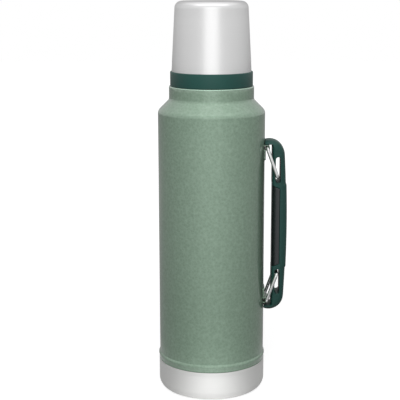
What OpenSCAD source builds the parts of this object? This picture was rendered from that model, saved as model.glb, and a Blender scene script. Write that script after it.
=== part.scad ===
// Vacuum insulated bottle with a screw-on cup, a screw stopper and a pull-out side handle.
// Millimetres. The bottle's axis is Z, the floor is z = 0 and the handle is on the +X side.

/* [Body] */
// Outside diameter of the painted body
body_d = 99; // [92:0.5:108]
// Height of the foot of the shoulder above the floor
shoulder_z = 264; // [252:1:280]
// Radius of the rounded foot of the shoulder
shoulder_r = 6; // [4:0.5:8]
// Radius of the hollow where the shoulder meets the collar
collar_fillet = 4; // [2:0.5:6]
// Height of the straight collar
collar_h = 10.7; // [7:0.1:14]
// How far the collar stands out past the cup's band
collar_step = 1.15; // [0.4:0.05:2]
// Radius of the collar's rounded top edge
collar_edge_r = 1; // [0.6:0.1:1.5]
// Wall of the outer shell
shell_wall = 0.6; // [0.5:0.1:1]

/* [Base] */
// Height of the bare steel base
base_h = 29; // [22:0.5:36]
// How far the base stands out past the body
base_step = 0.7; // [0.4:0.1:0.9]
// Wall of the base cup
base_wall = 0.6; // [0.5:0.1:1]
// Radius of the base's rounded bottom edge
base_edge_r = 9.5; // [4:0.5:11]
// Gap that shows between base and painted shell
base_reveal = 0.3; // [0.1:0.1:0.6]
// Inside diameter of the flat foot ring
foot_d = 72; // [50:1:80]
// Depth of the recess inside the foot ring
foot_recess = 1.5; // [0.8:0.1:2.5]
// Height of the middle of the bead above the base
bead_up = 4.5; // [3.5:0.1:8]
// How far the bead stands out past the body
bead_proud = 1.05; // [1:0.05:2.2]
// Radius of the rolled bead
bead_r = 4; // [3.5:0.1:6]

/* [Flask] */
// Inside diameter of the mouth
mouth_d = 52; // [46:0.5:56]
// Height of the neck above the collar
neck_h = 28; // [22:0.5:32]
// Height of the rounded mouth lip
lip_h = 1.2; // [0.8:0.1:2]
// Width of the vacuum space around the flask
vacuum_gap = 5; // [3:0.5:7]
// Width of the vacuum space inside the neck
neck_gap = 3.9; // [2:0.1:4.5]
// Wall of the flask
flask_wall = 0.5; // [0.4:0.1:1]
// Wall of the neck sleeve
neck_wall = 0.6; // [0.5:0.1:1.2]
// Rise of the flask's floor in the middle
floor_rise = 3; // [1.5:0.5:5]
// Diameter of the pump-out hole
port_d = 3; // [2:0.5:5]
// Diameter of the getter pill
getter_d = 12; // [8:1:18]
// Thickness of the getter pill
getter_h = 1.6; // [1:0.1:2.4]
// Thickness of the heat shield
shield_t = 0.2; // [0.2:0.1:0.6]

/* [Stopper] */
// Depth of the stopper in the mouth
stopper_depth = 34; // [28:0.5:38]
// Gap between stopper and mouth
stopper_clear = 0.4; // [0.3:0.05:0.8]
// Wall of the stopper
stopper_wall = 2.8; // [2.4:0.1:3.5]
// Thickness of the stopper's floor
stopper_floor = 3; // [2:0.5:4]
// Height of the lower seal
seal_h = 4.5; // [3:0.5:6]
// Depth of the groove that holds the lower seal
seal_groove = 1.7; // [1.2:0.1:2]
// Thickness of the flat gasket
gasket_h = 1.2; // [0.8:0.1:2]
// Height of the stopper's flange
flange_h = 4; // [3:0.5:6]
// Thickness of the knob's plate
plate_h = 3; // [2:0.5:4]
// Height of the fluted knob
knob_h = 18.6; // [14:0.2:22]
// How far the knob is set in from the flange
knob_inset = 5.5; // [3:0.5:9]
// Number of finger flutes around the knob
knob_flutes = 14; // [8:1:20]
// Radius of a finger flute
flute_r = 2.4; // [1.5:0.1:3]
// Width of a pour flute in the stopper
pour_w = 15; // [8:0.5:20]
// Depth of a pour flute
pour_depth = 1.6; // [1:0.1:1.8]

/* [Cup] */
// Room for the thread between neck and liner
thread_room = 2.5; // [2:0.1:3.5]
// Wall of the liner
liner_wall = 1.3; // [1:0.1:2]
// Air gap between liner and steel cup
cup_gap = 1.35; // [0.6:0.05:2]
// Wall of the steel cup
cup_wall = 0.5; // [0.4:0.1:0.9]
// How far the band stands out past the steel cup
band_step = 1.35; // [1:0.1:3]
// Height of the band
band_h = 13.2; // [9:0.2:16]
// Depth of the groove in the band that holds the steel cup
band_groove = 1.8; // [1:0.1:3]
// Loss of radius from the cup's rim to its top
cup_taper = 3; // [1.5:0.1:3.6]
// Radius of the cup's rounded top edge
cup_edge_r = 6.5; // [3:0.5:7]
// Free height over the stopper inside the cup
headroom = 14.3; // [8:0.1:20]
// Thickness of the foam pad in the cup
pad_h = 4.5; // [2:0.1:6]
// Radial step from the cup's top edge to its foam pad
pad_inset = 8; // [6:0.5:12]

/* [Handle] */
// Height of the middle between the two brackets
handle_z = 159.5; // [152:0.5:166]
// How far the loose handle hangs below that middle
handle_sag = 1; // [0:0.1:1.2]
// Height of the handle
handle_h = 162.5; // [145:0.5:180]
// Width of the handle
handle_w = 23.2; // [20:0.2:26]
// Depth of the handle from inner face to spine, at mid height
handle_t = 13.6; // [13:0.05:18]
// Bow of the spine from mid height to the arches' centres
handle_bow = 1.95; // [0.8:0.05:2.2]
// Radius of the arch at each end
arch_r = 14; // [13:0.5:15]
// Thickness of the tips that reach to the body
tip_t = 4.1; // [3.8:0.1:5]
// Gap between the tips and the body
tip_clear = 0.4; // [0.3:0.1:1]
// Radius of the handle's long outer edges
frame_edge_r = 6; // [2:0.1:7]
// Radius of the handle's long inner edges
rib_edge_r = 2.5; // [1:0.1:3]
// Gap between body and grip with the handle pushed in
finger_gap = 6.8; // [6:0.1:9]
// Thickness of the soft grip
grip_t = 3; // [2:0.1:3.5]
// Depth of the grip from its inner face to the parting line
grip_depth = 7.1; // [6.5:0.1:9]
// Gap from a slot to the grip at the parting line
grip_gap = 5.1; // [4.2:0.1:9]
// Extra half length of the grip at its inner face
grip_slant = 3.6; // [0:0.2:4]
// Radius of the grip's long edges
grip_edge_r = 5.5; // [3:0.5:6]
// How far the back of the handle swells along the grip
grip_swell = 0.7; // [0.3:0.1:1]

/* [Bails] */
// Diameter of the wire
wire_d = 3.2; // [2.8:0.1:3.4]
// Inside radius of a bend in the wire
bend_in = 1.4; // [1:0.1:1.8]
// Gap between a wire arm and the side of the handle
arm_clear = 0.8; // [0.5:0.1:1.5]
// Running gap around the wire in its bracket
pivot_clear = 0.05; // [0.02:0.01:0.1]
// Gap between the upper bracket and the tip of the hanging handle
bracket_clear = 0.4; // [0.3:0.1:2]
// Drop of a crossbar from its pivot with the handle pushed in
arm_drop = 27; // [26:0.1:30]
// Gap between the body and the wire in its bracket
pivot_lift = 0.3; // [0.2:0.05:0.8]
// Depth of the slot centre from the handle's inner face
slot_depth = 5.4; // [5:0.1:6.3]
// Free gap at each side of the crossbar in its slot
slot_clear = 0.12; // [0.1:0.02:0.5]
// Travel of the handle
handle_travel = 15; // [10:0.5:16]
// Spare slot length beyond the crossbar when pushed in
slot_spare_in = 2.4; // [2:0.1:2.6]
// Spare slot length beyond the crossbar when pulled out
slot_spare_out = 5.5; // [2.5:0.1:7]
// Sheet thickness of a bracket
strap_t = 1; // [0.8:0.1:1.4]
// Width of a bracket
strap_w = 18; // [12:0.5:20]
// Height of a bracket's flat leg
strap_h = 12; // [8:0.5:16]

/* [Hidden] */
$fn = 96;
// Gap left between pressed or glued pieces
fit = 0.1;
body_r = body_d / 2;
mouth_r = mouth_d / 2;
throat_r = mouth_r + flask_wall;
neck_r = throat_r + neck_gap + neck_wall;
liner_r = neck_r + thread_room;
rim_r = liner_r + liner_wall + cup_gap + cup_wall;
band_r = rim_r + band_step;
collar_r = band_r + collar_step;
base_r = body_r + base_step;
tail_r = base_r - base_wall - fit;
tail_z = base_edge_r + shell_wall + 0.5;
floor_z = tail_z + vacuum_gap + flask_wall;
flask_r = body_r - shell_wall - vacuum_gap;
flask_top = shoulder_z - (sqrt(2) - 1) * (shell_wall + vacuum_gap);
bead_z = base_h + bead_up;
// Height where the collar's straight wall starts, and its top
collar_z0 = shoulder_end(body_r, shoulder_z, collar_r, shoulder_r, collar_fillet);
collar_z = collar_z0 + collar_h;
lip_z = collar_z + neck_h;
mouth_z = lip_z + lip_h;

// Stopper heights, from its bottom to the top of the knob
stopper_r = mouth_r - stopper_clear;
stopper_z = mouth_z - stopper_depth;
hollow_r = stopper_r - stopper_wall;
seal_z = stopper_z + 2.5;
flange_z = mouth_z + gasket_h;
flange_r = neck_r - 1;
plate_z = flange_z + flange_h;
knob_z = plate_z + plate_h;
knob_r = flange_r - knob_inset;
spigot_h = min(3, flange_h - 0.5);
stopper_top = knob_z + knob_h;

// Cup heights, from the band to the top of the steel
band_z = collar_z + band_h;
ceiling_z = stopper_top + headroom;
pad_z = ceiling_z + liner_wall;
cup_z = pad_z + pad_h + cup_wall;
cup_edge_z = cup_z - cup_edge_r;
cup_lean = atan(cup_taper / (cup_edge_z - band_z));
cup_edge_x = rim_r - cup_taper - cup_edge_r * cos(cup_lean);

// Handle, seen from the front: x outwards from the axis, z from the handle's own middle
handle_mid = handle_z - handle_sag;
inner_x = body_r + finger_gap;
spine_x = inner_x + handle_t;
parting_x = inner_x + grip_depth;
// The spine is one long arc, and the arch starts where it ends
arch_z = handle_h / 2 - arch_r;
arch_x = spine_x - handle_bow - arch_r;
spine_r = (pow(arch_z, 2) + pow(handle_bow, 2)) / (2 * handle_bow) + arch_r;
spine_a = asin(arch_z / (spine_r - arch_r));
tip_z = handle_h / 2 - tip_t;
// The arches turn until their ends lie behind the body's wall at the handle's sides
tip_wall = sqrt(pow(body_r + tip_clear, 2) - pow(handle_w / 2, 2));
arch_end = 91 + atan((arch_x - tip_wall) / (arch_r - tip_t));
// The arches start inside the spine by this angle, and are this much smaller
arch_lap = 2;
joint_step = 0.05;
// Small step that keeps round and flat cuts from meeting exactly tangent
ease = 0.02;
core_half_w = handle_w / 2 - grip_t;

// Bails: the angle of an arm from the vertical, pushed in and pulled out
wire_r = wire_d / 2;
bend_r = wire_r + bend_in;
arm_y = handle_w / 2 + arm_clear + wire_r;
pivot_x = body_r + pivot_lift + wire_r;
slot_x = inner_x + slot_depth;
// Reach of the slot centre from the pivot
arm_reach = slot_x - pivot_x;
// The crossbar swings on an arc while the slot moves straight: largest difference over the travel
arc_error = swing_error(arm_reach);
bar_x = slot_x - arc_error / 2;
arm_l = norm([bar_x - pivot_x, arm_drop]);
arm_a0 = asin((bar_x - pivot_x) / arm_l);
arm_a1 = asin((bar_x - pivot_x + handle_travel) / arm_l);
slot_w = wire_d + 2 * slot_clear + arc_error;
// Heights of pivots and crossbars from the middle between the brackets
strap_r = wire_r + pivot_clear + strap_t;
pivot_z = tip_z - handle_sag - strap_r - bracket_clear;
slot_in = pivot_z - arm_drop - handle_sag - wire_r - slot_spare_in;
slot_out = pivot_z - arm_l * cos(arm_a1) + wire_r + slot_spare_out;
grip_half = slot_in - grip_gap;
// The swell on the handle's back ends where the grip ends at its inner face
swell_a = asin((grip_half + grip_slant) / spine_r);

paint = [0.52, 0.60, 0.54];
steel = [0.78, 0.79, 0.79];
dark_green = [0.18, 0.31, 0.28];
black = [0.13, 0.14, 0.15];
foam = [0.93, 0.92, 0.86];
silicone = [0.80, 0.80, 0.78];
copper = [0.78, 0.50, 0.35];

// Points on an arc from angle a0 to a1
function arc(c, r, a0, a1, n = 12) =
    [for (i = [0:n]) let (a = a0 + (a1 - a0) * i / n) c + r * [cos(a), sin(a)]];

function reversed(p) = [for (i = [len(p) - 1:-1:0]) p[i]];

// Height of the end of a 45 degree shoulder from radius rf at height zf up to radius rn
function shoulder_end(rf, zf, rn, rs, rc) =
    zf + (rs + rc) * sin(45) + rf - rn - (rs + rc) * (1 - cos(45));

// Outline of that shoulder: rounded foot, straight cone, hollow to the neck
function shoulder(rf, zf, rn, rs, rc) = concat(
    arc([rf - rs, zf], rs, 0, 45),
    arc([rn + rc, shoulder_end(rf, zf, rn, rs, rc)], rc, 225, 180));

// Difference between the swinging crossbar and a straight pull, largest over the travel
function swing_error(reach) =
    let (l = norm([reach, arm_drop]), a0 = asin(reach / l), a1 = asin((reach + handle_travel) / l))
    max([for (i = [0:20])
        l * sin(a0 + (a1 - a0) * i / 20) - reach - handle_travel * i / 20]);

module rounded_plate(w, h, r) {
    square([w - 2 * r, h], center = true);
    square([w, h - 2 * r], center = true);
    for (x = [-1, 1], y = [-1, 1])
        translate([x * (w / 2 - r), y * (h / 2 - r)]) circle(r);
}

// Turns an outline drawn in (x, z) into a bar of width w along Y
module along_y(w) {
    rotate([90, 0, 0]) linear_extrude(w, center = true) children();
}

module outer_shell() {
    w = shell_wall;
    bead_c = [body_r + bead_proud - bead_r, bead_z];
    low = -acos((base_r - bead_c[0]) / bead_r);
    high = acos((body_r - bead_c[0]) / bead_r);
    outside = concat(
        [[tail_r, tail_z], [tail_r, base_h], [base_r, base_h]],
        arc(bead_c, bead_r, low, high),
        shoulder(body_r, shoulder_z, collar_r, shoulder_r, collar_fillet),
        arc([collar_r - collar_edge_r, collar_z - collar_edge_r], collar_edge_r, 0, 90),
        [[neck_r + fit, collar_z]]);
    inside = concat(
        [[tail_r - w, tail_z]],
        arc(bead_c, bead_r - w, -acos((tail_r - w - bead_c[0]) / (bead_r - w)),
            acos((body_r - w - bead_c[0]) / (bead_r - w))),
        shoulder(body_r - w, shoulder_z, collar_r - w, shoulder_r - w, collar_fillet + w),
        [[collar_r - w, collar_z - w], [neck_r + fit, collar_z - w]]);
    color(paint) rotate_extrude() polygon(concat(outside, reversed(inside)));
}

module base_cup() {
    w = base_wall;
    foot_r = foot_d / 2;
    edge_c = [base_r - base_edge_r, base_edge_r];
    color(steel) rotate_extrude() polygon(concat(
        [[0, foot_recess], [foot_r - 2, foot_recess], [foot_r, 0]],
        arc(edge_c, base_edge_r, -90, 0),
        [[base_r, base_h - base_reveal], [base_r - w, base_h - base_reveal]],
        arc(edge_c, base_edge_r - w, 0, -90),
        [[foot_r + w / 2, w], [foot_r - 2 + w / 2, foot_recess + w], [0, foot_recess + w]]));
}

// Disc under the shell's tail, with the pump-out hole in its middle
module shell_floor() {
    color(steel) difference() {
        translate([0, 0, tail_z - shell_wall]) cylinder(r = tail_r, h = shell_wall);
        translate([0, 0, tail_z - 2 * shell_wall]) cylinder(d = port_d, h = 3 * shell_wall);
    }
}

module vacuum_seal() {
    color(silicone) {
        translate([0, 0, tail_z - shell_wall - 0.8]) cylinder(r = port_d / 2 + 2, h = 0.8);
        translate([0, 0, tail_z - shell_wall - 0.8]) cylinder(d = port_d - fit, h = shell_wall + 0.8);
    }
}

module inner_flask() {
    w = flask_wall;
    lip_r = lip_h / 2;
    outside = concat(
        [[flask_r, floor_z]],
        shoulder(flask_r, flask_top, throat_r, 4, 4),
        [[throat_r, lip_z], [neck_r, lip_z]],
        arc([neck_r - lip_r, mouth_z - lip_r], lip_r, 0, 90, 6),
        arc([mouth_r + lip_r, mouth_z - lip_r], lip_r, 90, 180, 6));
    inside = concat(
        [[flask_r - w, floor_z]],
        shoulder(flask_r - w, flask_top, throat_r - w, 4 - w, 4 + w));
    color(steel) rotate_extrude() polygon(concat(outside, reversed(inside)));
}

module inner_floor() {
    w = flask_wall;
    color(steel) rotate_extrude() polygon([
        [0, floor_z - w + floor_rise], [flask_r * 0.6, floor_z - w + floor_rise],
        [flask_r * 0.85, floor_z - w], [flask_r, floor_z - w], [flask_r, floor_z],
        [flask_r * 0.85 + w / 3, floor_z], [flask_r * 0.6 + w / 3, floor_z + floor_rise],
        [0, floor_z + floor_rise]]);
}

module getter() {
    color(steel) translate([0, 0, floor_z - flask_wall + floor_rise - getter_h])
        cylinder(d = getter_d, h = getter_h);
}

module heat_shield() {
    color(copper) translate([0, 0, floor_z + 3]) difference() {
        cylinder(r = flask_r + fit + shield_t, h = flask_top - floor_z - 6);
        translate([0, 0, -1]) cylinder(r = flask_r + fit, h = flask_top - floor_z);
    }
}

// Tube with a flange that seats under the collar's lip
module neck_sleeve() {
    top = collar_z - shell_wall;
    out = collar_r - shell_wall - fit;
    color(steel) rotate_extrude() polygon([
        [neck_r - neck_wall, top - neck_wall], [out, top - neck_wall], [out, top],
        [neck_r, top], [neck_r, lip_z], [neck_r - neck_wall, lip_z]]);
}

// Sheet strap on the body with a rolled channel for the wire; side is 1 for upper, -1 for lower
module bracket(side) {
    z = side * pivot_z;
    channel_r = wire_r + pivot_clear;
    difference() {
        union() {
            intersection() {
                cylinder(r = body_r + strap_t, h = 2 * handle_z, center = true);
                translate([0, 0, z - side * (strap_h / 2)]) rotate([90, 0, 90])
                    linear_extrude(2 * body_r) rounded_plate(strap_w, strap_h, 2.5);
            }
            translate([pivot_x, 0, z]) rotate([90, 0, 0])
                cylinder(r = strap_r, h = strap_w, center = true);
            translate([body_r - 4, -strap_w / 2, z - strap_r])
                cube([pivot_x - body_r + 4, strap_w, 2 * strap_r]);
        }
        translate([pivot_x, 0, z]) rotate([90, 0, 0])
            cylinder(r = channel_r, h = 2 * strap_w, center = true);
        translate([0, -strap_w, z - channel_r]) cube([pivot_x, 2 * strap_w, 2 * channel_r]);
        cylinder(r = body_r + fit / 2, h = 3 * handle_z, center = true);
    }
}

module upper_bracket() {
    color(paint) translate([0, 0, handle_z]) bracket(1);
}

module lower_bracket() {
    color(paint) translate([0, 0, handle_z]) bracket(-1);
}

// Closed wire loop in the XY plane: pivot bar at x = 0, crossbar at x = arm_l
module wire_loop() {
    for (x = [0, arm_l])
        translate([x, 0, 0]) rotate([90, 0, 0])
            cylinder(r = wire_r, h = 2 * (arm_y - bend_r), center = true);
    for (y = [-1, 1])
        translate([bend_r, y * arm_y, 0]) rotate([0, 90, 0])
            cylinder(r = wire_r, h = arm_l - 2 * bend_r);
    for (turn = [[arm_l - bend_r, 1, 0], [bend_r, 1, 90], [bend_r, -1, 180], [arm_l - bend_r, -1, 270]])
        translate([turn[0], turn[1] * (arm_y - bend_r), 0]) rotate([0, 0, turn[2]])
            rotate_extrude(angle = 90) translate([bend_r, 0]) circle(wire_r);
}

module upper_bail() {
    color(steel) translate([pivot_x, 0, handle_z + pivot_z]) rotate([0, 90 - arm_a0, 0]) wire_loop();
}

module lower_bail() {
    color(steel) translate([pivot_x, 0, handle_z - pivot_z]) rotate([0, arm_a0 - 90, 0]) wire_loop();
}

// Half section of the handle, for turning about an arch or about the spine's own centre
module spine_section(from, to, w) {
    e = frame_edge_r;
    translate([from, -w / 2]) square([to - from - e, w]);
    translate([from, e - w / 2]) square([to - from, w - 2 * e]);
    for (y = [-1, 1]) translate([to - e, y * (w / 2 - e)]) circle(e, $fn = 48);
}

// Turns a section in the (x, z) plane about [x, z], from angle a0 to a1
module turned(x, z, a0, a1, n) {
    translate([x, 0, z]) rotate([90, 0, 0]) rotate([0, 0, a0])
        rotate_extrude(angle = a1 - a0, $fn = n) children();
}

// Outline of the open space that the arched handle bends around
module window_outline() {
    r = 2;
    translate([0, -tip_z]) square([inner_x - r, 2 * tip_z]);
    translate([0, r - tip_z]) square([inner_x, 2 * (tip_z - r)]);
    for (z = [-1, 1]) translate([inner_x - r, z * (tip_z - r)]) circle(r);
}

// Outline of the grip's place, with slanted ends; gap shrinks it
module grip_outline(gap) {
    a = grip_half - gap;
    b = grip_half + grip_slant - gap;
    polygon([[inner_x - 1, -b], [parting_x - gap, -a], [parting_x - gap, a], [inner_x - 1, b]]);
}

// Core of the frame inside the soft grip
module grip_core(gap) {
    translate([inner_x + grip_t - gap, -core_half_w - gap, -grip_half - 5])
        cube([parting_x - inner_x, 2 * (core_half_w + gap), 2 * grip_half + 10]);
}

module handle_frame() {
    color(dark_green) translate([0, 0, handle_mid]) difference() {
        union() {
            turned(spine_x - spine_r, 0, -spine_a, spine_a, 2880)
                spine_section(spine_r - handle_t - 4, spine_r, handle_w);
            turned(spine_x - spine_r, 0, -swell_a, swell_a, 2880)
                spine_section(spine_r - handle_t, spine_r + grip_swell, handle_w - 2 * joint_step);
            turned(arch_x, arch_z, spine_a - arch_lap, arch_end, 96)
                spine_section(1, arch_r - joint_step, handle_w - 2 * joint_step);
            turned(arch_x, -arch_z, -arch_end, arch_lap - spine_a, 96)
                spine_section(1, arch_r - joint_step, handle_w - 2 * joint_step);
        }
        along_y(2 * handle_w) window_outline();
        cylinder(r = body_r + tip_clear, h = 2 * handle_h, center = true);
        for (z = [-1, 1]) along_y(2 * handle_w) {
            translate([slot_x, z * (slot_in + slot_out) / 2])
                square([slot_w - ease, slot_out - slot_in - slot_w], center = true);
            translate([slot_x, z * (slot_in + slot_w / 2)]) circle(d = slot_w);
            translate([slot_x, z * (slot_out - slot_w / 2)]) circle(d = slot_w);
        }
        difference() {
            along_y(2 * handle_w) grip_outline(0);
            grip_core(0);
        }
        for (y = [-1, 1]) translate([inner_x, y * handle_w / 2, -tip_z]) difference() {
            translate([-rib_edge_r, -rib_edge_r, 0]) cube([2 * rib_edge_r, 2 * rib_edge_r, 2 * tip_z]);
            translate([rib_edge_r - ease, y * (ease - rib_edge_r), -1]) cylinder(r = rib_edge_r, h = 2 * tip_z + 2);
        }
    }
}

module handle_grip() {
    e = grip_edge_r;
    deep = grip_depth + 5;
    color(black) translate([0, 0, handle_mid]) difference() {
        intersection() {
            along_y(2 * handle_w) grip_outline(fit);
            translate([inner_x, 0, 0]) linear_extrude(3 * grip_half, center = true) {
                translate([e, -handle_w / 2]) square([deep - e, handle_w]);
                translate([0, e - handle_w / 2]) square([deep, handle_w - 2 * e]);
                for (y = [-1, 1]) translate([e, y * (handle_w / 2 - e)]) circle(e);
            }
        }
        grip_core(fit);
    }
}

// Hollow plug with a flange, a groove for its lower seal and two flat pour flutes
module stopper_body() {
    r = stopper_r;
    groove_r = r - seal_groove;
    color(dark_green) difference() {
        rotate_extrude() polygon([
            [0, stopper_z], [r - 1.5, stopper_z], [r, stopper_z + 1.5], [r, seal_z],
            [groove_r, seal_z], [groove_r, seal_z + seal_h], [r, seal_z + seal_h], [r, flange_z],
            [flange_r, flange_z], [flange_r, plate_z], [hollow_r, plate_z],
            [hollow_r, stopper_z + stopper_floor], [0, stopper_z + stopper_floor]]);
        for (x = [-1, 1])
            translate([x * (r - pour_depth / 2 + 1), 0, (seal_z + seal_h + 1.5 + flange_z) / 2])
                cube([pour_depth + 2, pour_w, flange_z - seal_z - seal_h - 1.5], center = true);
    }
}

module stopper_cap() {
    top_r = 3;
    color(dark_green) difference() {
        rotate_extrude() polygon(concat(
            [[0, plate_z - spigot_h], [hollow_r - fit, plate_z - spigot_h], [hollow_r - fit, plate_z],
                [flange_r, plate_z]],
            arc([flange_r - 1, knob_z - 1], 1, 0, 90, 6),
            [[knob_r, knob_z]],
            arc([knob_r - 1 - top_r, stopper_top - top_r], top_r, 0, 90),
            [[0, stopper_top]]));
        for (i = [1:knob_flutes])
            rotate([0, 0, 360 * i / knob_flutes]) translate([knob_r + flute_r / 2, 0, knob_z + 1.5])
                cylinder(r = flute_r, h = knob_h);
    }
}

module stopper_core() {
    bottom = stopper_z + stopper_floor;
    color(foam) translate([0, 0, bottom])
        cylinder(r = hollow_r - 3 * fit, h = plate_z - spigot_h - bottom);
}

// Ring with two rounded lips
module stopper_seal() {
    out = stopper_r + 0.1;
    h = seal_h - 2 * fit;
    lip = h / 4;
    color(silicone) translate([0, 0, seal_z + fit]) rotate_extrude() polygon(concat(
        [[stopper_r - seal_groove + fit, 0], [out - lip, 0]],
        arc([out - lip, lip], lip, -90, 90, 8),
        arc([out - lip, 3 * lip], lip, -90, 90, 8),
        [[stopper_r - seal_groove + fit, h]]));
}

module stopper_gasket() {
    color(silicone) translate([0, 0, mouth_z]) difference() {
        cylinder(r = flange_r, h = gasket_h);
        translate([0, 0, -1]) cylinder(r = stopper_r + fit, h = gasket_h + 2);
    }
}

// Liner whose thick rim is the band, with a groove on top for the steel cup
module cup_liner() {
    out_r = liner_r + liner_wall;
    edge = 0.6;
    lean = tan(cup_lean) * (ceiling_z - band_z);
    color(dark_green) rotate_extrude() polygon(concat(
        [[liner_r, collar_z + 1], [liner_r + 1, collar_z]],
        arc([band_r - edge, collar_z + edge], edge, -90, 0, 6),
        arc([band_r - edge, band_z - edge], edge, 0, 90, 6),
        [[rim_r + fit, band_z], [rim_r + fit, band_z - band_groove],
            [rim_r - cup_wall - fit, band_z - band_groove], [rim_r - cup_wall - fit, band_z],
            [out_r, band_z]],
        arc([out_r - lean - 3, pad_z - 3], 3, 0, 90),
        [[0, pad_z], [0, ceiling_z]],
        arc([liner_r - lean - 2, ceiling_z - 2], 2, 90, 0),
        [[liner_r, band_z]]));
}

module cup_shell() {
    w = cup_wall;
    edge_c = [cup_edge_x, cup_edge_z];
    color(steel) rotate_extrude() polygon(concat(
        [[rim_r - w, band_z - band_groove + fit], [rim_r, band_z - band_groove + fit], [rim_r, band_z]],
        arc(edge_c, cup_edge_r, cup_lean, 90),
        [[0, cup_z], [0, cup_z - w]],
        arc(edge_c, cup_edge_r - w, 90, cup_lean),
        [[rim_r - w, band_z]]));
}

module cup_insulation() {
    color(foam) translate([0, 0, pad_z])
        cylinder(r = cup_edge_x + cup_edge_r - pad_inset, h = pad_h);
}

outer_shell();
base_cup();
shell_floor();
vacuum_seal();
inner_flask();
inner_floor();
getter();
heat_shield();
neck_sleeve();
upper_bracket();
lower_bracket();
upper_bail();
lower_bail();
handle_frame();
handle_grip();
stopper_body();
stopper_cap();
stopper_core();
stopper_seal();
stopper_gasket();
cup_liner();
cup_shell();
cup_insulation();
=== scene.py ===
# %% [markdown]
# # A vacuum bottle in the studio
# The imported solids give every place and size. This lesson dresses them: it builds finer walls, wires
# and mouldings over the solids, gives each finish its own shader, and sets up a plain white studio.
# Lengths are written in millimetres, as on a drawing, and turned into metres where a mesh is made.
# Camera, bump depths, floor, room and lamps are in metres, as Blender takes them.

# %% The frame
import math
import bpy
import bmesh
from mathutils import Matrix, Vector


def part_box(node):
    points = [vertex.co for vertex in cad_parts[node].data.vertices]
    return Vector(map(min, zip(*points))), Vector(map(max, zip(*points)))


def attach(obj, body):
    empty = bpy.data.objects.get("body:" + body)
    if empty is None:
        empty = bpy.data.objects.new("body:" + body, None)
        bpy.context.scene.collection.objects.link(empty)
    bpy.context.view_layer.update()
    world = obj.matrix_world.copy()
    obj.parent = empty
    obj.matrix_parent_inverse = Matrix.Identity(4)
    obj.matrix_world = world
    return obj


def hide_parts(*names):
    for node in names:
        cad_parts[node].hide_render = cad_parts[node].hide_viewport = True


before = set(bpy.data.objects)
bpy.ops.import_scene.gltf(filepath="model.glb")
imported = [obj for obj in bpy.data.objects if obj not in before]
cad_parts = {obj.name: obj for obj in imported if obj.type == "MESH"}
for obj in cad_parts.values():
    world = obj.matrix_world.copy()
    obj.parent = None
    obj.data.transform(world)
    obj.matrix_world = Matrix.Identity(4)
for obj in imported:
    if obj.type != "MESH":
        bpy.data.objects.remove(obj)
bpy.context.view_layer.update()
scene = bpy.context.scene
scene.view_settings.view_transform = "Standard"
MM = 0.001


def reach(node):
    """How far a node reaches along X, and its lowest and highest level, in millimetres."""
    low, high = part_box(node)
    return high.x / MM, low.z / MM, high.z / MM


print("top of the cup:", round(reach("cup_shell")[2], 2), "mm")

# %% [markdown]
# ## Camera
# The rims of the bottle are ellipses, and their opening grows from top to foot. That fixes a camera
# about a metre away, a little above the cup, looking down by 11.8 degrees through a long lens. The
# bottle stands slightly right of the picture's middle. The camera could be turned for that, but a
# sideways shift of the lens keeps it square to the bottle.

# %% Camera
PICTURE_PIXELS, FOCAL_PIXELS = 400, 1070.7
SHIFT_PIXELS = (-11.55, 0.5)
CAMERA_SPOT, LOOK_DOWN = (0, -0.9845, 0.3869), 11.8
SENSOR = 36.0
camera_data = bpy.data.cameras.new("studio_camera")
camera_data.sensor_width = SENSOR
camera_data.lens = FOCAL_PIXELS / PICTURE_PIXELS * SENSOR
camera_data.shift_x = SHIFT_PIXELS[0] / PICTURE_PIXELS
camera_data.shift_y = SHIFT_PIXELS[1] / PICTURE_PIXELS
camera = bpy.data.objects.new("studio_camera", camera_data)
camera.location = CAMERA_SPOT
camera.rotation_euler = (math.radians(90 - LOOK_DOWN), 0, 0)
scene.collection.objects.link(camera)
scene.camera = camera
print("lens", round(camera_data.lens, 1), "mm")

# %% [markdown]
# ## Shader maths
# A finish is a graph of nodes. Wired by hand it is long and hard to read, so one small class wraps a
# node's output and lets Python's operators add the Math nodes. Every other node comes from one method
# that takes its type, its settings and what goes into its sockets.

# %% Values
class Value:
    """One output of a node: arithmetic on it adds Math nodes."""

    def __init__(self, finish, socket):
        self.finish, self.socket = finish, socket

    def step(self, operation, first, second):
        return self.finish.node("Math", {"operation": operation}, {0: first, 1: second})

    def __add__(self, other):
        return self.step("ADD", self, other)

    def __radd__(self, other):
        return self.step("ADD", other, self)

    def __sub__(self, other):
        return self.step("SUBTRACT", self, other)

    def __rsub__(self, other):
        return self.step("SUBTRACT", other, self)

    def __mul__(self, other):
        return self.step("MULTIPLY", self, other)

    def __rmul__(self, other):
        return self.step("MULTIPLY", other, self)

    def __truediv__(self, other):
        return self.step("DIVIDE", self, other)

    def __rtruediv__(self, other):
        return self.step("DIVIDE", other, self)

    def __pow__(self, other):
        return self.step("POWER", self, other)

    def __rpow__(self, other):
        return self.step("POWER", other, self)


print("operators ready")


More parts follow.
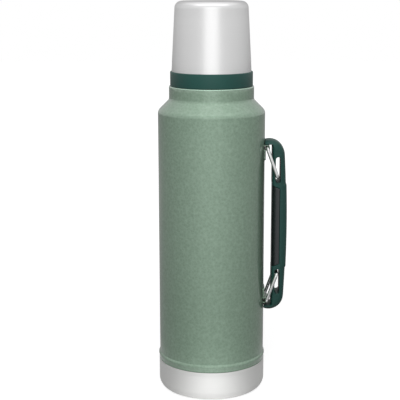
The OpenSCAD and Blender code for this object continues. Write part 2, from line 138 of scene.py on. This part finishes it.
# %% Nodes
class Finish:
    """A node tree, and the one method that adds nodes to it."""

    def __init__(self, tree):
        self.tree = tree
        tree.nodes.clear()

    def node(self, kind, settings=None, sockets=None, output=0):
        """Adds a node, sets it up, fills its sockets with values or links, and wraps one output."""
        made = self.tree.nodes.new("ShaderNode" + kind)
        for key, value in (settings or {}).items():
            setattr(made, key, value)
        for key, value in (sockets or {}).items():
            if isinstance(value, Value):
                self.tree.links.new(value.socket, made.inputs[key])
            else:
                made.inputs[key].default_value = value
        return Value(self, made.outputs[output]) if made.outputs else None

    def noise(self, vector, scale, detail=2.0, rough=0.5):
        return self.node("TexNoise", sockets={
            "Vector": vector, "Scale": scale, "Detail": detail, "Roughness": rough})

    def stretched(self, vector, scale):
        return self.node("VectorMath", {"operation": "MULTIPLY"}, {0: vector, 1: scale})

    def axis(self, vector, number):
        """One coordinate of a vector: 0 is X, 1 is Y and 2 is Z."""
        return self.node("SeparateXYZ", sockets={0: vector}, output=number)

    def blend(self, factor, first, second):
        return self.node("Mix", {"data_type": "RGBA"}, {0: factor, 6: first, 7: second}, output=2)

    def clamped(self, value, low, high, to_low=0.0, to_high=1.0):
        return self.node("MapRange", sockets={0: value, 1: low, 2: high, 3: to_low, 4: to_high})

    def seen_by_camera(self):
        return self.node("LightPath", output=0)

    def seen_in_gloss_or_glass(self):
        return self.clamped(self.node("LightPath", output=3) + self.node("LightPath", output=6), 0, 1)


print("node tools ready")


# %% Colours and surfaces
def srgb(red, green, blue):
    """A colour as read off a screen, 0 to 255, as the linear colour that a shader takes."""
    parts = [c / 255 for c in (red, green, blue)]
    return (*[c / 12.92 if c <= 0.04045 else ((c + 0.055) / 1.055) ** 2.4 for c in parts], 1.0)


def grey(level):
    return (level, level, level, 1.0)


def new_finish(name):
    """A new material, its node tree, and the place on the object that textures are read at."""
    material = bpy.data.materials.new(name)
    material.use_nodes = True
    finish = Finish(material.node_tree)
    place = finish.node("TexCoord", output=3)
    return material, finish, place


def surface(finish, sockets, height, depth, strength):
    """The shader at the end of a finish, with a bump of the given depth in metres."""
    bump = finish.node("Bump", sockets={"Height": height, "Distance": depth, "Strength": strength})
    shader = finish.node("BsdfPrincipled", sockets=dict(sockets, Normal=bump))
    finish.node("OutputMaterial", sockets={"Surface": shader})


print("surface tools ready")

# %% [markdown]
# ## Hammered green paint
# The body has a hammered enamel: pigment and metal flakes draw together into small dimples while the
# paint dries. The dimples could be modelled, but they are far too many and too shallow for a mesh, so
# a bump carries them. Cells of about two millimetres give the dimples, and a finer random field gives
# the flakes. The colour shifts a little between the middle of a cell and its rim. A smooth clear coat
# lies on top, and it mirrors the handle at the edge of the body. Along the turned top edge of the
# collar a pale line is painted as a highlight, and the paint there is also smoother and more metallic.

# %% Paint
DIMPLES_PER_M, FLAKES_PER_M, WANDER_PER_M, DRIFT_PER_M = 430, 1500, 260, 14
DIMPLE_DEPTH = 0.00022
HIGHLIGHT_BAND, HIGHLIGHT_FADE = 0.7, 0.2
hammered_green, paint, place = new_finish("hammered_green")
cells = paint.node("TexVoronoi", {"feature": "SMOOTH_F1"},
                   {"Vector": place, "Scale": DIMPLES_PER_M, "Smoothness": 0.6})
flakes = paint.noise(place, FLAKES_PER_M, 3, 0.7)
wander = paint.noise(place, WANDER_PER_M, 2)
drift = paint.noise(place, DRIFT_PER_M, 3)
pale = paint.clamped(cells * 0.4 + flakes * 0.9 + wander * 0.25 + drift * 0.2, 0.55, 1.2)
paint_colour = paint.blend(pale, srgb(110, 134, 115), srgb(139, 163, 144))
# The collar's turned top edge gets a paler colour, which is a painted highlight, and the paint there is
# also smoother and more metallic.
highlight_start = reach("outer_shell")[2] - HIGHLIGHT_BAND
collar_edge_highlight = paint.clamped(paint.axis(place, 2), (highlight_start - HIGHLIGHT_FADE) * MM, highlight_start * MM)
surface(paint, {
    # the pale colour on the collar's edge is a painted highlight
    "Base Color": paint.blend(collar_edge_highlight, paint_colour, srgb(166, 194, 176)),
    "Roughness": 0.34 + flakes * 0.14 - collar_edge_highlight * 0.18,
    "Metallic": 0.5 + collar_edge_highlight * 0.4,
    "Specular IOR Level": 0.2,
    "Coat Weight": 1.0,
    "Coat Roughness": 0.08,
}, cells * 0.7 + flakes * 0.3, DIMPLE_DEPTH, strength=0.75)
print("finish:", hammered_green.name)

# %% [markdown]
# ## Brushed steel
# The cup and the base are turned while an abrasive belt touches them, so the scratches run round the
# piece. An anisotropic shader could smear the highlight along them. Noise that is stretched flat along
# the rim shows the scratches themselves, as rings in the bump and in the roughness, coarser on the
# base than on the cup, so it was chosen. A faint, wide noise keeps the metal from looking printed. The
# wire of the bails is drawn and polished, so it is far smoother.

# %% Steel
RING_STRETCH, HAIR_STRETCH = (25, 25, 5200), (160, 160, 9000)
CLOUD_PER_M, DRAWN_PER_M = 22, 900


def brushed(name, colour, roughness, depth):
    material, finish, place = new_finish(name)
    rings = finish.noise(finish.stretched(place, RING_STRETCH), 1.0, 4, 0.6)
    hairs = finish.noise(finish.stretched(place, HAIR_STRETCH), 1.0, 2)
    cloud = finish.noise(place, CLOUD_PER_M, 3)
    tone = finish.clamped(rings * 0.6 + cloud * 0.4, 0.25, 0.75)
    darker = (*[c * 0.93 for c in colour[:3]], 1)
    surface(finish, {
        "Base Color": finish.blend(tone, darker, colour),
        "Roughness": roughness + rings * 0.12 + cloud * 0.05,
        "Metallic": 1.0,
    }, rings * 0.7 + hairs * 0.3, depth, strength=0.5)
    return material


brushed_steel = brushed("brushed_steel", (0.71, 0.71, 0.71, 1), roughness=0.24, depth=0.00006)
base_steel = brushed("base_steel", (0.71, 0.71, 0.70, 1), roughness=0.34, depth=0.00009)
inner_steel = brushed("inner_steel", (0.58, 0.58, 0.57, 1), roughness=0.24, depth=0.00002)

wire_steel, wire, place = new_finish("wire_steel")
drawn = wire.noise(place, DRAWN_PER_M, 3)
surface(wire, {
    "Base Color": wire.blend(drawn, grey(0.56), grey(0.70)),
    "Roughness": 0.06 + drawn * 0.08,
    "Metallic": 1.0,
}, drawn, 0.00001, strength=0.4)
print("finishes:", brushed_steel.name, base_steel.name, inner_steel.name, wire_steel.name)

# %% [markdown]
# ## Mouldings
# Band, stopper and handle are dark green moulded plastics with a fine spark-eroded grain, the handle a
# little greyer. The grip is a black rubber with a coarser grain. They differ only in colour, gloss and
# grain, so one function makes them all. A fine noise gives the grain, and a slow one lets colour and
# gloss drift as they do where hands have been. The seals and the foam are made the same way, and two
# more metals, for the inside, come from the steel's function.

# %% Plastics
SLOW_PER_M = 35


def moulded(name, deep, light, roughness, grain, depth, shine=0.5):
    material, finish, place = new_finish(name)
    fine = finish.noise(place, grain, 3, 0.6)
    slow = finish.noise(place, SLOW_PER_M, 3)
    surface(finish, {
        "Base Color": finish.blend(finish.clamped(fine * 0.6 + slow * 0.5, 0.3, 0.8), deep, light),
        "Roughness": roughness + fine * 0.12 + slow * 0.10,
        "Specular IOR Level": shine,
    }, fine, depth, strength=0.5)
    return material


green_plastic = moulded("green_plastic", srgb(5, 56, 50), srgb(12, 65, 58),
                        roughness=0.32, grain=2600, depth=0.00003, shine=0.45)
handle_green = moulded("handle_green", srgb(13, 51, 46), srgb(21, 60, 54),
                       roughness=0.34, grain=2600, depth=0.00003, shine=0.35)
grip_rubber = moulded("grip_rubber", srgb(8, 13, 16), srgb(15, 21, 24),
                      roughness=0.26, grain=1700, depth=0.00006, shine=0.65)
silicone = moulded("silicone", srgb(196, 197, 192), srgb(212, 212, 206),
                   roughness=0.40, grain=900, depth=0.00002)
foam = moulded("foam", srgb(226, 222, 204), srgb(240, 237, 224),
               roughness=0.80, grain=700, depth=0.0002)
seal_metal = brushed("seal_metal", (0.45, 0.45, 0.44, 1), roughness=0.45, depth=0.00002)
copper_foil = brushed("copper_foil", (0.72, 0.42, 0.28, 1), roughness=0.28, depth=0.00002)
print("finishes:", green_plastic.name, handle_green.name, grip_rubber.name, silicone.name, foam.name)

# %% [markdown]
# ## Turned pieces
# Most of the bottle is a solid of revolution. Blender's Screw modifier could turn an outline too. A
# lathe routine of our own takes a closed outline of radius and height and turns it in fine steps, so
# that rims stay round close up, and a ripple function may push its wall in or out by angle and height.
# That is how the screw threads of neck and cup are made, and it is why this way was chosen.

# %% Outlines
def arc(centre, radius, start, end, steps=10):
    """Points on an arc from one angle to another, in degrees."""
    turn = [math.radians(start + (end - start) * i / steps) for i in range(steps + 1)]
    return [(centre[0] + radius * math.cos(a), centre[1] + radius * math.sin(a)) for a in turn]


def ladder(start, end, steps):
    """Points in a row from start to end, both kept."""
    return [tuple(a + (b - a) * i / steps for a, b in zip(start, end)) for i in range(steps + 1)]


print("a quarter circle has", len(arc((0, 0), 1, 0, 90)), "points")


# %% Pieces
def finished(name, mesh, material, body, node, sharp=35):
    """Puts a mesh in the scene as a piece that rides on a body and stands for a CAD node."""
    mesh.materials.clear()
    mesh.materials.append(material)
    mesh.polygons.foreach_set("use_smooth", [True] * len(mesh.polygons))
    mesh.set_sharp_from_angle(angle=math.radians(sharp))
    piece = bpy.data.objects.new(name, mesh)
    scene.collection.objects.link(piece)
    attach(piece, body)
    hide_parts(node)
    print(f"{name}: {len(mesh.vertices)} points on {body}")


def mesh_of(name, work):
    """Turns a bmesh into a mesh whose faces all look outwards."""
    bmesh.ops.recalc_face_normals(work, faces=work.faces)
    mesh = bpy.data.meshes.new(name)
    work.to_mesh(mesh)
    work.free()
    return mesh


# %% Lathe
TURNED_STEPS, FINE_STEPS = 144, 176


def lathe(name, outline, material, body, node, steps=TURNED_STEPS, ripple=None):
    """Turns a closed outline about the bottle's axis. Points on the axis are made only once."""
    work = bmesh.new()
    columns = []
    for i in range(steps):
        angle = 2 * math.pi * i / steps
        column = []
        for radius, height in outline:
            if radius < 1e-6 and i:
                column.append(columns[0][len(column)])
                continue
            r = radius + (ripple(radius, height, angle) if ripple else 0)
            spot = (r * math.cos(angle) * MM, r * math.sin(angle) * MM, height * MM)
            column.append(work.verts.new(spot))
        columns.append(column)
    for i in range(steps):
        here, there = columns[i], columns[(i + 1) % steps]
        for j in range(len(outline)):
            k = (j + 1) % len(outline)
            ring = [here[j], there[j], there[k], here[k]]
            corners = [v for n, v in enumerate(ring) if v not in ring[:n]]
            if len(corners) > 2:
                work.faces.new(corners)
    finished(name, mesh_of(name, work), material, body, node)


print("lathe ready:", TURNED_STEPS, "or", FINE_STEPS, "steps round")

# %% Threads
RIDGE_HALF, RUN_OUT = 0.3, 2.5


def thread(low, high, lead, starts, depth, side):
    """A ripple that makes a rounded thread between two heights on the walls that side() picks.

    It stands out from the wall by depth, or is cut into it where depth is below zero.
    """
    def ripple(radius, height, angle):
        if not side(radius) or not low < height < high:
            return 0.0
        turn = (starts * ((height - low) / lead - angle / (2 * math.pi))) % 1.0
        ridge = max(0.0, 1 - abs(turn - 0.5) / RIDGE_HALF)
        ends = min(1.0, (height - low) / RUN_OUT, (high - height) / RUN_OUT)
        return depth * ends * ridge * ridge * (3 - 2 * ridge)
    return ripple


print("a thread's ridge takes", 2 * RIDGE_HALF, "of its pitch")

# %% [markdown]
# ## Painted body
# The shell is a drawn tube: a bead is rolled near the foot, the shoulder is a 45 degree cone with a
# rounded foot and a hollow at the collar, and the collar's top edge is turned in. The solid could stay
# and only get the paint. It is turned again, to the CAD's own sizes, because fine even steps shade
# well under a gloss, and because the bead can then be eased into the wall as rolled sheet is.

# %% Shell sizes
BODY_R, COLLAR_R, NECK_R, SHELL, FIT = 49.5, 39.15, 31.0, 0.6, 0.1
BEAD_R, TAIL_Z, COLLAR_Z = reach("outer_shell")
BASE_R, _, BASE_TOP = reach("base_cup")
TAIL_R, BORE_R = BASE_R - SHELL - FIT, NECK_R + FIT
GAP_TOP = BASE_TOP + 0.3
BEAD_ROUND, BEAD_Z = 4.0, 33.5
SHOULDER_ROUND, SHOULDER_Z = 6.0, 264
HOLLOW_ROUND, LIP_ROUND = 4.0, 1.0
bead = (BEAD_R - BEAD_ROUND, BEAD_Z)
shoulder = (BODY_R - SHOULDER_ROUND, SHOULDER_Z)
hollow = (COLLAR_R + HOLLOW_ROUND, COLLAR_Z - 10.7)
lip = (COLLAR_R - LIP_ROUND, COLLAR_Z - LIP_ROUND)
WALL_LOW, WALL_HIGH = 39, 263
print("collar's top at", round(COLLAR_Z, 2), "mm, bead out to", round(BEAD_R, 2), "mm")

# %% Shell
shell_outside = (
    [(TAIL_R, TAIL_Z), (TAIL_R, GAP_TOP), (BASE_R - 0.15, GAP_TOP), (BASE_R, GAP_TOP + 0.15)]
    + arc(bead, BEAD_ROUND, -30, 40, 14)
    + [(BODY_R + 0.07, 36.3), (BODY_R + 0.02, 36.8), (BODY_R, 37.6)]
    + ladder((BODY_R, WALL_LOW), (BODY_R, WALL_HIGH), 8)
    + arc(shoulder, SHOULDER_ROUND, 0, 45, 12)
    + arc(hollow, HOLLOW_ROUND, 225, 180, 12)
    + [(COLLAR_R, COLLAR_Z - 5)]
    + arc(lip, LIP_ROUND, 0, 90, 6)
    + [(BORE_R, COLLAR_Z)]
)
shell_inside = (
    [(BORE_R, COLLAR_Z - SHELL), (COLLAR_R - SHELL, COLLAR_Z - SHELL)]
    + arc(hollow, HOLLOW_ROUND + SHELL, 180, 225, 6)
    + arc(shoulder, SHOULDER_ROUND - SHELL, 45, 0, 6)
    + [(BODY_R - SHELL, 37), (TAIL_R - SHELL, 36), (TAIL_R - SHELL, TAIL_Z)]
)
lathe("painted_shell", shell_outside + shell_inside, hammered_green, "bottle",
      "outer_shell", FINE_STEPS)

# %% [markdown]
# ## Steel base
# A shallow cup is pressed over the foot. Its edge is well rounded, the bottle stands on a flat ring,
# and the middle of the foot is pressed up. A hair of a gap is left under the paint, which shows as a
# thin dark line. A painted line could stand for it, but a real gap keeps its shadow from any side.

# %% Base
FOOT_EDGE, BASE_WALL = 9.5, 0.6
RAISED = 1.5
foot = (BASE_R - FOOT_EDGE, FOOT_EDGE)
lathe("steel_base", (
    [(0, RAISED), (20, RAISED), (33.4, RAISED), (34.0, RAISED - 0.15), (35.8, 0.15), (36.4, 0)]
    + arc(foot, FOOT_EDGE, -90, 0, 18)
    + ladder((BASE_R, FOOT_EDGE + 1.5), (BASE_R, BASE_TOP - 0.4), 4)
    + [(BASE_R - 0.15, BASE_TOP - 0.05), (BASE_R - BASE_WALL, BASE_TOP)]
    + [(BASE_R - BASE_WALL, FOOT_EDGE + 1)]
    + arc(foot, FOOT_EDGE - BASE_WALL, 0, -90, 10)
    + [(36.3, BASE_WALL), (34.3, RAISED + BASE_WALL), (0, RAISED + BASE_WALL)]
), base_steel, "bottle", "base_cup", FINE_STEPS)

# %% [markdown]
# ## Steel cup
# The cup is drawn from sheet with a slight taper and a soft top edge. Its top face could be flat, but
# here it is very slightly dished, which keeps a wide flat highlight from looking like paper.

# %% Cup shell
RIM_R, CUP_LOW, CUP_Z = reach("cup_shell")
BAND_Z = CUP_LOW + 1.7
CUP_WALL, CUP_TAPER, CUP_ROUND, CUP_LEAN = 0.5, 3, 6.5, 3.02
cup_edge = (RIM_R - CUP_TAPER - CUP_ROUND * math.cos(math.radians(CUP_LEAN)), CUP_Z - CUP_ROUND)
lathe("steel_cup", (
    [(RIM_R - CUP_WALL, CUP_LOW), (RIM_R, CUP_LOW), (RIM_R, BAND_Z)]
    + ladder((RIM_R, BAND_Z + 0.5), (cup_edge[0] + CUP_ROUND, cup_edge[1] - 0.5), 6)
    + arc(cup_edge, CUP_ROUND, CUP_LEAN, 88, 18)
    + [(26, CUP_Z), (22, CUP_Z - 0.2), (12, CUP_Z - 0.28), (0, CUP_Z - 0.3)]
    + [(0, CUP_Z - 0.75), (26, CUP_Z - CUP_WALL)]
    + arc(cup_edge, CUP_ROUND - CUP_WALL, 90, CUP_LEAN, 10)
    + [(RIM_R - CUP_WALL, BAND_Z)]
), brushed_steel, "cup", "cup_shell", FINE_STEPS)

# %% [markdown]
# ## Cup liner and band
# The thick rim of the plastic liner is the dark band under the steel. Band and liner could be two
# pieces, but they are one moulding on the bottle, so one outline makes both. Its edges are eased, and
# the inside carries the coarse thread that holds the cup on the neck. With the cup lifted off, the
# thread and the smooth drinking side can be seen.

# %% Cup liner
LINER_R, LINER_WALL, LINER_TAPER = 33.5, 1.3, 2.93
BAND_R, _, PAD_Z = reach("cup_liner")
CEILING = PAD_Z - LINER_WALL
BAND_EDGE, SEAT_Z = 0.7, BAND_Z - 1.8
PAD_ROUND, CEILING_ROUND = 3.0, 2.0
CUP_LEAD, STARTS = 13.0, 2
liner_out = LINER_R + LINER_WALL
liner_thread = thread(COLLAR_Z + 1, BAND_Z + 1, CUP_LEAD, STARTS, -0.8, lambda r: r < LINER_R + 0.2)
lathe("green_liner", (
    [(LINER_R, COLLAR_Z + 1.2), (LINER_R + 1, COLLAR_Z + 0.02)]
    + arc((BAND_R - BAND_EDGE, COLLAR_Z + 0.02 + BAND_EDGE), BAND_EDGE, -90, 0, 5)
    + arc((BAND_R - BAND_EDGE, BAND_Z - BAND_EDGE), BAND_EDGE, 0, 90, 5)
    + [(RIM_R + 0.12, BAND_Z), (RIM_R + 0.1, SEAT_Z), (RIM_R - 0.6, SEAT_Z)]
    + [(RIM_R - 0.6, BAND_Z), (liner_out, BAND_Z)]
    + arc((liner_out - LINER_TAPER - PAD_ROUND, PAD_Z - PAD_ROUND), PAD_ROUND, 0, 90, 8)
    + [(0, PAD_Z), (0, CEILING)]
    + arc((LINER_R - LINER_TAPER - CEILING_ROUND, CEILING - CEILING_ROUND), CEILING_ROUND, 90, 0, 8)
    + [(LINER_R - 0.6, BAND_Z + 12), (LINER_R - 0.1, BAND_Z + 2)]
    + ladder((LINER_R, BAND_Z), (LINER_R, COLLAR_Z + 1.6), 30)
), green_plastic, "cup", "cup_liner", ripple=liner_thread)

# %% [markdown]
# ## Neck and flask
# Under the cup, a bare steel neck rises from the collar with the outside thread, and the mouth's lip
# is rolled over. The thread could be a separate coil, but on the bottle it is pressed out of the neck,
# so the lathe's ripple makes it. It stays inside the room that the liner's own thread leaves, so the
# two never cut. The flask inside is turned from the same kind of outline.

# %% Neck
FLANGE_R, FLANGE_Z, LIP_Z = reach("neck_sleeve")
NECK_WALL, FLANGE_TOP = 0.6, FLANGE_Z + 0.55
neck_thread = thread(COLLAR_Z + 2.3, COLLAR_Z + 21.5, CUP_LEAD, STARTS, 1.0,
                     lambda r: abs(r - NECK_R) < 0.1)
lathe("steel_neck", (
    [(NECK_R - NECK_WALL, FLANGE_Z), (FLANGE_R, FLANGE_Z), (FLANGE_R, FLANGE_TOP)]
    + [(NECK_R, FLANGE_TOP), (NECK_R, COLLAR_Z + 1)]
    + ladder((NECK_R, COLLAR_Z + 2), (NECK_R, COLLAR_Z + 22), 50)
    + [(NECK_R, LIP_Z), (NECK_R - NECK_WALL, LIP_Z)]
), inner_steel, "bottle", "neck_sleeve", ripple=neck_thread)

# %% Flask
FLASK_R, FLASK_Z, MOUTH_Z = reach("inner_flask")
MOUTH_R, THROAT_R, MOUTH_ROUND = 26.0, 26.5, 0.6
FLASK_WALL, FLASK_ROUND, FLASK_TOP, FLASK_MIDDLE = 0.5, 4.0, 261.68, 120
slope = math.radians(45)
throat_z = (FLASK_TOP + 2 * FLASK_ROUND * math.sin(slope) + FLASK_R - THROAT_R
            - 2 * FLASK_ROUND * (1 - math.cos(slope)))
flask_shoulder = (FLASK_R - FLASK_ROUND, FLASK_TOP)
throat = (THROAT_R + FLASK_ROUND, throat_z)
lathe("steel_flask", (
    [(FLASK_R, FLASK_Z), (FLASK_R, FLASK_MIDDLE)]
    + arc(flask_shoulder, FLASK_ROUND, 0, 45, 6)
    + arc(throat, FLASK_ROUND, 225, 180, 6)
    + [(THROAT_R, LIP_Z), (NECK_R, LIP_Z)]
    + arc((NECK_R - MOUTH_ROUND, MOUTH_Z - MOUTH_ROUND), MOUTH_ROUND, 0, 90, 5)
    + arc((MOUTH_R + MOUTH_ROUND, MOUTH_Z - MOUTH_ROUND), MOUTH_ROUND, 90, 180, 5)
    + arc(throat, FLASK_ROUND + FLASK_WALL, 180, 225, 6)
    + arc(flask_shoulder, FLASK_ROUND - FLASK_WALL, 45, 0, 6)
    + [(FLASK_R - FLASK_WALL, FLASK_MIDDLE), (FLASK_R - FLASK_WALL, FLASK_Z)]
), inner_steel, "bottle", "inner_flask")

# %% [markdown]
# ## Stopper
# The stopper is a hollow plug with two flat pour flutes, a flange and a fluted knob. Plug and knob are
# read from the solids and softened: the copy is turned into fine voxels and smoothed, so that every
# edge gets the small radius that a mould leaves. A bevel could round the edges too, but voxels don't
# mind how many of them meet. The plug's thread is carved into its wall, so it adds nothing outside the
# solid, and its lead is that of the stopper's own screw motion.

# %% Soft edges
SOFT_SHARP = 60


def evaluated(draft):
    """The mesh that a draft's modifiers make. The draft itself goes."""
    scene.collection.objects.link(draft)
    graph = bpy.context.evaluated_depsgraph_get()
    mesh = bpy.data.meshes.new_from_object(draft.evaluated_get(graph))
    bpy.data.objects.remove(draft)
    return mesh


def carved(mesh, ripple):
    """Pushes a mesh's points in or out from the bottle's axis by a ripple."""
    for vertex in mesh.vertices:
        x, y, height = vertex.co / MM
        radius = math.hypot(x, y)
        share = ripple(radius, height, math.atan2(y, x)) / radius if radius > 1 else 0
        vertex.co.x, vertex.co.y = vertex.co.x * (1 + share), vertex.co.y * (1 + share)


def softened(name, node, material, body, voxel, passes, keep, ripple=None):
    """A copy of a CAD node with the small edge radii of a moulding, thinned to a share of its faces."""
    work = bmesh.new()
    work.from_mesh(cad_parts[node].data)
    bmesh.ops.remove_doubles(work, verts=work.verts, dist=1e-6)
    rough = bpy.data.meshes.new(name + "_rough")
    work.to_mesh(rough)
    work.free()
    draft = bpy.data.objects.new(name + "_rough", rough)
    remesh = draft.modifiers.new("voxels", "REMESH")
    remesh.mode, remesh.voxel_size = "VOXEL", voxel * MM
    smooth = draft.modifiers.new("ease", "SMOOTH")
    smooth.factor, smooth.iterations = 0.5, passes
    mesh = evaluated(draft)
    if ripple:
        carved(mesh, ripple)
    draft = bpy.data.objects.new(name + "_full", mesh)
    draft.modifiers.new("collar_edge_highlight", "DECIMATE").ratio = keep
    finished(name, evaluated(draft), material, body, node, SOFT_SHARP)


print("soft edges ready")

# %% Stopper
STOPPER_LEAD = 10.0
PLUG_R = MOUTH_R - 0.4
thread_low, thread_high = reach("stopper_seal")[2] + 2, reach("stopper_gasket")[1] - 3
plug_thread = thread(thread_low, thread_high, STOPPER_LEAD, STARTS, -1.1, lambda r: r > PLUG_R - 0.3)
softened("stopper_plug", "stopper_body", green_plastic, "stopper",
         voxel=0.45, passes=4, keep=0.5, ripple=plug_thread)
softened("stopper_knob", "stopper_cap", green_plastic, "stopper",
         voxel=0.45, passes=6, keep=0.5)

# %% [markdown]
# ## Handle
# The handle is one arched moulding with a slot near each end, and a black grip on its inner side. The
# solids already have the arch, the bow of the spine and the slots. What they lack is the softness of
# a moulding, so both get fine voxels and a few smoothing passes. The two straps on the body that carry
# the wires are thinner, so their voxels are finer.

# %% Handle
softened("green_handle", "handle_frame", handle_green, "handle",
         voxel=0.4, passes=6, keep=0.4)
softened("black_grip", "handle_grip", grip_rubber, "handle",
         voxel=0.4, passes=6, keep=0.4)
for end in ("upper", "lower"):
    softened(end + "_strap", end + "_bracket", hammered_green, "bottle",
             voxel=0.2, passes=4, keep=0.5)

# %% [markdown]
# ## Wire bails
# Each bail is one wire, bent to a flat loop with tight corners. A curve with a round bevel could make
# it. Here a ring of points is carried along the loop and closed on itself, which gives an even mesh
# without a seam. The loop lies in the plane of its two arms, and the box of the solid gives the pivot,
# the length of the arms and their lean at rest.

# %% Bails
HALF, BEND, BEND_STEPS = 14.0, 3.0, 10
WIRE_R, WIRE_SIDES = 1.6, 20
UP = Vector((0, 0, 1))


def bail(name, node, side):
    """A closed wire loop. Side is 1 where the arms hang down from the pivot, and -1 where they rise."""
    low, high = (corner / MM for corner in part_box(node))
    reach_out, drop = high.x - low.x - 2 * WIRE_R, high.z - low.z - 2 * WIRE_R
    arm, lean_angle = math.hypot(reach_out, drop), math.atan2(reach_out, drop)
    pivot = Vector((low.x + WIRE_R, 0, high.z - WIRE_R if side > 0 else low.z + WIRE_R))
    far, wide = arm - BEND, HALF - BEND
    corners = [((far, wide), 0), ((BEND, wide), 90), ((BEND, -wide), 180), ((far, -wide), 270)]
    path = [point for centre, start in corners
            for point in arc(centre, BEND, start, start + 90, BEND_STEPS)]
    lean = Matrix.Rotation(side * (math.pi / 2 - lean_angle), 4, "Y")
    work = bmesh.new()
    rings = []
    for i, (x, y) in enumerate(path):
        before, after = path[i - 1], path[(i + 1) % len(path)]
        along = Vector((after[0] - before[0], after[1] - before[1], 0)).normalized()
        across = Vector((along.y, -along.x, 0))
        ring = []
        for k in range(WIRE_SIDES):
            a = 2 * math.pi * k / WIRE_SIDES
            spot = Vector((x, y, 0)) + WIRE_R * (math.cos(a) * across + math.sin(a) * UP)
            ring.append(work.verts.new((pivot + lean @ spot) * MM))
        rings.append(ring)
    for i, here in enumerate(rings):
        there = rings[(i + 1) % len(rings)]
        for k in range(WIRE_SIDES):
            n = (k + 1) % WIRE_SIDES
            work.faces.new([here[k], there[k], there[n], here[n]])
    finished(name, mesh_of(name, work), wire_steel, node, node)


bail("upper_wire", "upper_bail", 1)
bail("lower_wire", "lower_bail", -1)

# %% [markdown]
# ## Pieces that stay as they are
# Seals, foam, foil and the inner floors are plain turned shapes that hardly ever show. They could be
# turned again, but nothing would be gained, so the solids stay and only get their finish.

# %% Kept solids
for node, material in {
    "shell_floor": inner_steel, "inner_floor": inner_steel, "vacuum_seal": seal_metal,
    "getter": seal_metal, "heat_shield": copper_foil, "stopper_core": foam,
    "stopper_seal": silicone, "stopper_gasket": silicone, "cup_insulation": foam,
}.items():
    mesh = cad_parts[node].data
    mesh.materials.clear()
    mesh.materials.append(material)
    print(node, "gets", material.name)

# %% [markdown]
# ## Floor
# The bottle stands on a white floor. Stronger lamps could make the floor white, but they would bleach
# the bottle. So to the camera part of the floor's light is its own and part is what falls on it: it is
# white and keeps a faint shadow. Metal and gloss see a bright patch just in front of the foot, a dim
# floor beside and behind it, and a paler one far away.

# %% Floor
FLOOR_HALF, FLOOR_DROP = 4.0, 0.0003
RISE, FALL, DISTANCE, HORIZON = (0.055, 0.1), (0.11, 0.17), (0.3, 1.0), (0.25, 1.2)
work = bmesh.new()
bmesh.ops.create_grid(work, x_segments=1, y_segments=1, size=FLOOR_HALF)
floor_mesh = bpy.data.meshes.new("floor")
work.to_mesh(floor_mesh)
work.free()
floor = bpy.data.objects.new("floor", floor_mesh)
floor.location.z = -FLOOR_DROP
scene.collection.objects.link(floor)
floor_paper, paper, place = new_finish("floor_paper")
away = paper.node("VectorMath", {"operation": "LENGTH"}, {0: place}, output=1)
white = paper.blend(paper.clamped(away, *HORIZON), grey(0.82), grey(1.0))
facing = paper.clamped(paper.axis(place, 1) / away, 0.3, -1.0)
near = paper.clamped(away, *RISE, 0.8, 1.36) * paper.clamped(away, *FALL, 1.0, 0.24)
far = paper.clamped(away, *DISTANCE, 0.0, 0.3)
patch = near * (0.2 + 0.8 * facing ** 4) + far * (0.5 + 0.5 * facing)
own = paper.seen_in_gloss_or_glass() * patch
lit = paper.node("BsdfDiffuse", sockets={"Color": grey(0.34)})
glow = paper.node("Emission", sockets={"Color": paper.blend(paper.seen_by_camera(), own, white)})
both = paper.node("AddShader", sockets={0: lit, 1: glow})
paper.node("OutputMaterial", sockets={"Surface": both})
floor_mesh.materials.append(floor_paper)
print("floor size", [round(s, 1) for s in floor.dimensions])

# %% [markdown]
# ## Room
# The room is a plain white tent. The camera sees it white. Metal and gloss see it brightest in front,
# falling off towards the back. To all other light it is only a dim fill. It could light the bottle by
# itself, but then the body would look flat, so the lamps do most of that.

# %% Room
AMBIENT, TENT, TENT_FALL = 0.12, 1.1, 0.2
world = bpy.data.worlds.new("white_tent")
scene.world = world
world.use_nodes = True
room = Finish(world.node_tree)
towards_back = room.axis(room.node("TexCoord", output=0), 1)
mirrored = TENT * ((1 - towards_back) / 2) ** TENT_FALL
level = AMBIENT + room.seen_in_gloss_or_glass() * (mirrored - AMBIENT)
level = level + room.seen_by_camera() * (1 - level)
back = room.node("Background", sockets={"Color": grey(1.0), "Strength": level})
room.node("OutputWorld", sockets={"Surface": back})
print("room:", world.name)

# %% [markdown]
# ## Lamps
# Four softboxes light the bottle. Point lamps would leave hard spots on steel and gloss, so each is a
# wide area lamp. The key stays out of reflections, so the highlights come from the tent, the front and
# the two boxes overhead, which are wide and soft.

# %% Lamps
AT_BODY, AT_NECK = (0, 0, 0.2), (0, 0, 0.3)


def lamp(name, spot, aim, size, power):
    data = bpy.data.lights.new(name, "AREA")
    data.shape, data.size, data.size_y, data.energy = "RECTANGLE", size[0], size[1], power
    piece = bpy.data.objects.new(name, data)
    piece.location = spot
    piece.rotation_euler = (Vector(aim) - Vector(spot)).to_track_quat("-Z", "Y").to_euler()
    scene.collection.objects.link(piece)
    return piece


lamp("front_softbox", (0.0, -2.2, 0.75), AT_NECK, size=(1.7, 1.6), power=4.8)
key = lamp("key_softbox", (0.0, -1.4, 1.5), AT_BODY, size=(1.8, 1.0), power=36)
key.visible_glossy = False
lamp("top_softbox", (0.0, 0.2, 2.0), AT_BODY, size=(3.4, 2.0), power=5.5)
lamp("canopy_softbox", (0.0, -0.7, 2.0), AT_BODY, size=(2.6, 1.0), power=6.5)
